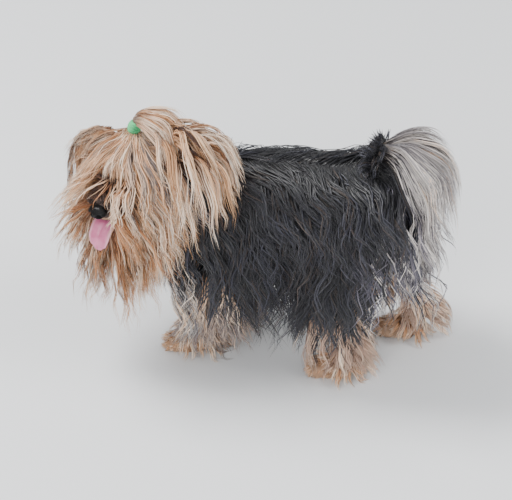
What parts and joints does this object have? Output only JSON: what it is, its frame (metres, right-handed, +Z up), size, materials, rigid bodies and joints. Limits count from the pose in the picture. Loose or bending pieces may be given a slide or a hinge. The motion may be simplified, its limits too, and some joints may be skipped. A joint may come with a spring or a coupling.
{
  "type": "yorkshire terrier",
  "caption": "Small long-coated terrier standing in mid step, head turned to its left, tongue out, hair tied up, tail raised.",
  "frame": {"origin": "on the floor under the middle of the dog's outline", "axes": "+Z up from the soles, -Y the way the body faces, +X to the dog's left"},
  "size_m": [0.165, 0.3886, 0.2819],
  "materials": {
    "coat_gold": "long silky golden-tan hair",
    "coat_cream": "long cream and silver hair",
    "coat_steel": "long wavy dark steel hair",
    "coat_tan": "soft tan hair",
    "nose_leather": "moist, finely pebbled",
    "tongue": "wet and smooth",
    "eye": "dark brown, wet",
    "claw": "smooth dark horn",
    "hair_tie": "wound green elastic"
  },
  "bodies": {
    "root": {"eye_left": "eye", "eye_right": "eye", "nose": "nose_leather", "tongue": "tongue", "hair_tie": "hair_tie", "topknot": "coat_cream", "ear_left": "coat_gold", "ear_right": "coat_gold", "head": "coat_gold", "neck": "coat_cream", "torso": "coat_steel", "tail": "coat_cream", "leg_front_left": "coat_tan", "paw_front_left": "coat_tan", "claw_front_left_1": "claw", "claw_front_left_2": "claw", "claw_front_left_3": "claw", "claw_front_left_4": "claw", "leg_front_right": "coat_tan", "paw_front_right": "coat_tan", "claw_front_right_1": "claw", "claw_front_right_2": "claw", "claw_front_right_3": "claw", "claw_front_right_4": "claw", "leg_hind_left": "coat_tan", "paw_hind_left": "coat_tan", "claw_hind_left_1": "claw", "claw_hind_left_2": "claw", "claw_hind_left_3": "claw", "claw_hind_left_4": "claw", "leg_hind_right": "coat_tan", "paw_hind_right": "coat_tan", "claw_hind_right_1": "claw", "claw_hind_right_2": "claw", "claw_hind_right_3": "claw", "claw_hind_right_4": "claw"}
  },
  "joints": []
}
